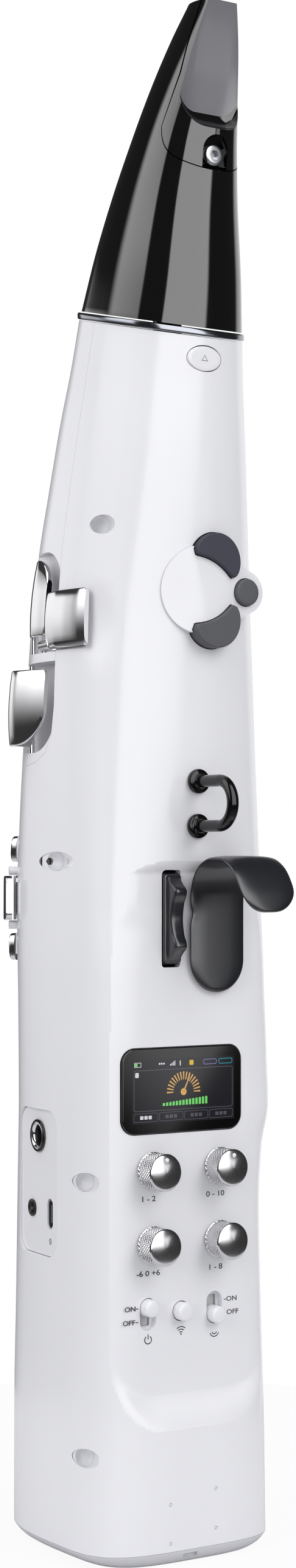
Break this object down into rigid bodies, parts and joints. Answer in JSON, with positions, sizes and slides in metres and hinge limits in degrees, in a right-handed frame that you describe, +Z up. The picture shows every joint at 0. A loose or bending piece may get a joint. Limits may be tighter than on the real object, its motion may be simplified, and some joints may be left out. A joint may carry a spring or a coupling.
{
  "type": "digital wind controller",
  "caption": "Handheld wind controller with saxophone-style keys, reed mouthpiece, thumb hook, octave buttons, display, knobs and sockets on a two-part housing.",
  "frame": {"origin": "centre of the flat bottom face of the bottom cap, under the middle of the lower housing", "axes": "+Z up towards the mouthpiece, -Y towards the player (display, knobs, thumb rest), -X to the player's left (sockets, palm keys), +Y the front with the main keys"},
  "size_m": [0.0818, 0.1157, 0.5307],
  "materials": {
    "white": "glossy moulded white plastic",
    "cap_white": "white plastic",
    "black_gloss": "polished black resin",
    "satin": "dark satin plastic",
    "chrome": "polished chrome plating",
    "glass": "black display glass",
    "board": "circuit board",
    "steel": "steel",
    "cell": "battery sleeve",
    "plate": "pale satin plastic",
    "light": "clear light pipe"
  },
  "bodies": {
    "housing": {"air_tube": "plate", "battery_pack": "cell", "bottom_cap": "cap_white", "breath_sensor": "steel", "charge_light": "light", "control_board": "board", "display_glass": "glass", "display_module": "satin", "front_shell": "white", "headphone_jack": "satin", "key_board": "board", "mouthpiece_body": "black_gloss", "neck_ring": "chrome", "output_jack": "chrome", "port_panel": "white", "rear_shell": "white", "reed_screw": "steel", "strap_ring": "black_gloss", "thumb_hook": "satin", "thumb_plate": "white", "usb_socket": "steel"},
    "front_f_key": {"front_f_key": "chrome"},
    "b_key": {"b_key": "chrome"},
    "bis_key": {"bis_key": "chrome"},
    "a_key": {"a_key": "chrome"},
    "g_key": {"g_key": "chrome"},
    "f_key": {"f_key": "chrome"},
    "f_sharp_key": {"f_sharp_key": "chrome"},
    "e_key": {"e_key": "chrome"},
    "d_key": {"d_key": "chrome"},
    "table_key_g_sharp": {"table_key_g_sharp": "chrome"},
    "table_key_b": {"table_key_b": "chrome"},
    "table_key_c_sharp": {"table_key_c_sharp": "chrome"},
    "table_key_b_flat": {"table_key_b_flat": "chrome"},
    "side_key_upper": {"side_key_upper": "chrome"},
    "side_key_middle": {"side_key_middle": "chrome"},
    "side_key_lower": {"side_key_lower": "chrome"},
    "pinky_key_e_flat": {"pinky_key_e_flat": "chrome"},
    "pinky_key_c": {"pinky_key_c": "chrome"},
    "palm_key_high": {"palm_key_high": "chrome"},
    "palm_key_middle": {"palm_key_middle": "chrome"},
    "palm_key_low": {"palm_key_low": "chrome"},
    "pitch_rocker": {"pitch_rocker": "satin"},
    "octave_up_button": {"octave_up_button": "satin"},
    "octave_down_button": {"octave_down_button": "satin"},
    "thumb_round_button": {"thumb_round_button": "satin"},
    "neck_button": {"neck_button": "cap_white"},
    "pairing_button": {"pairing_button": "white"},
    "power_switch": {"power_switch": "white"},
    "bite_switch": {"bite_switch": "white"},
    "knob_upper_left": {"knob_upper_left": "chrome"},
    "knob_upper_right": {"knob_upper_right": "chrome"},
    "knob_lower_left": {"knob_lower_left": "chrome"},
    "knob_lower_right": {"knob_lower_right": "chrome"},
    "reed_lever": {"reed_lever": "black_gloss"}
  },
  "joints": [
    {"name": "front_f_key_slide", "type": "slide", "parent": "housing", "child": "front_f_key", "axis": [0.0596, -0.9808, -0.1857], "range_m": [0, 0.0016], "stiffness_N_per_m": 150},
    {"name": "b_key_slide", "type": "slide", "parent": "housing", "child": "b_key", "axis": [0, -0.9891, -0.1472], "range_m": [0, 0.0016], "stiffness_N_per_m": 150},
    {"name": "bis_key_slide", "type": "slide", "parent": "housing", "child": "bis_key", "axis": [-0.1159, -0.9884, -0.0978], "range_m": [0, 0.0016], "stiffness_N_per_m": 150},
    {"name": "a_key_slide", "type": "slide", "parent": "housing", "child": "a_key", "axis": [0, -0.9962, -0.0874], "range_m": [0, 0.0016], "stiffness_N_per_m": 150},
    {"name": "g_key_slide", "type": "slide", "parent": "housing", "child": "g_key", "axis": [0, -0.994, -0.1096], "range_m": [0, 0.0016], "stiffness_N_per_m": 150},
    {"name": "f_key_slide", "type": "slide", "parent": "housing", "child": "f_key", "axis": [-0.0001, -0.999, 0.0443], "range_m": [0, 0.0016], "stiffness_N_per_m": 150},
    {"name": "f_sharp_key_slide", "type": "slide", "parent": "housing", "child": "f_sharp_key", "axis": [-0.1213, -0.9914, 0.0487], "range_m": [0, 0.0016], "stiffness_N_per_m": 150},
    {"name": "e_key_slide", "type": "slide", "parent": "housing", "child": "e_key", "axis": [0, -0.9997, 0.0233], "range_m": [0, 0.0016], "stiffness_N_per_m": 150},
    {"name": "d_key_slide", "type": "slide", "parent": "housing", "child": "d_key", "axis": [-0.0001, -0.9995, -0.0312], "range_m": [0, 0.0016], "stiffness_N_per_m": 150},
    {"name": "table_key_g_sharp_turn", "type": "hinge", "parent": "housing", "child": "table_key_g_sharp", "pos_m": [-0.01309, 0.04166, 0.24339], "axis": [0, 0, 1], "range_deg": [0, 6], "stiffness_Nm_per_rad": 0.02},
    {"name": "table_key_b_turn", "type": "hinge", "parent": "housing", "child": "table_key_b", "pos_m": [-0.01652, 0.0412, 0.22599], "axis": [0, 0, 1], "range_deg": [0, 8], "stiffness_Nm_per_rad": 0.02},
    {"name": "table_key_c_sharp_turn", "type": "hinge", "parent": "housing", "child": "table_key_c_sharp", "pos_m": [-0.0314, 0.02969, 0.22599], "axis": [0, 0, 1], "range_deg": [0, 8], "stiffness_Nm_per_rad": 0.02},
    {"name": "table_key_b_flat_turn", "type": "hinge", "parent": "housing", "child": "table_key_b_flat", "pos_m": [-0.01397, 0.04178, 0.20819], "axis": [0, 0, 1], "range_deg": [0, 6], "stiffness_Nm_per_rad": 0.02},
    {"name": "side_key_upper_turn", "type": "hinge", "parent": "housing", "child": "side_key_upper", "pos_m": [0.02633, 0.03051, 0.29301], "axis": [0, 0, -1], "range_deg": [0, 8], "stiffness_Nm_per_rad": 0.02},
    {"name": "side_key_middle_turn", "type": "hinge", "parent": "housing", "child": "side_key_middle", "pos_m": [0.02775, 0.03136, 0.273], "axis": [0, 0, -1], "range_deg": [0, 8], "stiffness_Nm_per_rad": 0.02},
    {"name": "side_key_lower_turn", "type": "hinge", "parent": "housing", "child": "side_key_lower", "pos_m": [0.02909, 0.03163, 0.253], "axis": [0, 0, -1], "range_deg": [0, 8], "stiffness_Nm_per_rad": 0.02},
    {"name": "pinky_key_e_flat_turn", "type": "hinge", "parent": "housing", "child": "pinky_key_e_flat", "pos_m": [0.01466, 0.04091, 0.11799], "axis": [0, 0, -1], "range_deg": [0, 6], "stiffness_Nm_per_rad": 0.02},
    {"name": "pinky_key_c_turn", "type": "hinge", "parent": "housing", "child": "pinky_key_c", "pos_m": [0.0149, 0.04147, 0.10199], "axis": [0, 0, -1], "range_deg": [0, 6], "stiffness_Nm_per_rad": 0.02},
    {"name": "palm_key_high_turn", "type": "hinge", "parent": "housing", "child": "palm_key_high", "pos_m": [-0.0322, 0.0142, 0.33059], "axis": [0, 0, 1], "range_deg": [0, 3], "stiffness_Nm_per_rad": 0.05},
    {"name": "palm_key_middle_turn", "type": "hinge", "parent": "housing", "child": "palm_key_middle", "pos_m": [-0.0328, 0.0064, 0.32199], "axis": [0, 0, 1], "range_deg": [0, 2.4], "stiffness_Nm_per_rad": 0.05},
    {"name": "palm_key_low_turn", "type": "hinge", "parent": "housing", "child": "palm_key_low", "pos_m": [-0.0296, 0.0198, 0.29249], "axis": [0, 0, 1], "range_deg": [0, 3], "stiffness_Nm_per_rad": 0.05},
    {"name": "pitch_rocker_turn", "type": "hinge", "parent": "housing", "child": "pitch_rocker", "pos_m": [-0.009, -0.0333, 0.21951], "axis": [1, 0, 0], "range_deg": [-12, 12], "stiffness_Nm_per_rad": 0.02},
    {"name": "octave_up_button_slide", "type": "slide", "parent": "housing", "child": "octave_up_button", "axis": [0, 1, 0], "range_m": [0, 0.001], "stiffness_N_per_m": 200},
    {"name": "octave_down_button_slide", "type": "slide", "parent": "housing", "child": "octave_down_button", "axis": [0, 1, 0], "range_m": [0, 0.001], "stiffness_N_per_m": 200},
    {"name": "thumb_round_button_slide", "type": "slide", "parent": "housing", "child": "thumb_round_button", "axis": [0, 1, 0], "range_m": [0, 0.001], "stiffness_N_per_m": 200},
    {"name": "neck_button_slide", "type": "slide", "parent": "housing", "child": "neck_button", "axis": [0, 0.9989, 0.047], "range_m": [0, 0.0008], "stiffness_N_per_m": 200},
    {"name": "pairing_button_slide", "type": "slide", "parent": "housing", "child": "pairing_button", "axis": [0, 1, 0], "range_m": [0, 0.0009], "stiffness_N_per_m": 200},
    {"name": "power_switch_slide", "type": "slide", "parent": "housing", "child": "power_switch", "axis": [0, 0, 1], "range_m": [-0.0045, 0]},
    {"name": "bite_switch_slide", "type": "slide", "parent": "housing", "child": "bite_switch", "axis": [0, 0, 1], "range_m": [0, 0.0045]},
    {"name": "knob_upper_left_turn", "type": "hinge", "parent": "housing", "child": "knob_upper_left", "pos_m": [-0.0167, -0.04, 0.1342], "axis": [0, -1, 0], "range_deg": [-150, 150]},
    {"name": "knob_upper_right_turn", "type": "hinge", "parent": "housing", "child": "knob_upper_right", "pos_m": [0.011, -0.04, 0.1342], "axis": [0, -1, 0], "range_deg": [-150, 150]},
    {"name": "knob_lower_left_turn", "type": "hinge", "parent": "housing", "child": "knob_lower_left", "pos_m": [-0.0167, -0.04, 0.10901], "axis": [0, -1, 0], "continuous": true},
    {"name": "knob_lower_right_turn", "type": "hinge", "parent": "housing", "child": "knob_lower_right", "pos_m": [0.011, -0.04, 0.10901], "axis": [0, -1, 0], "continuous": true},
    {"name": "reed_lever_turn", "type": "hinge", "parent": "housing", "child": "reed_lever", "pos_m": [0, -0.0444, 0.482], "axis": [1, 0, 0], "range_deg": [0, 0.7], "stiffness_Nm_per_rad": 4}
  ]
}
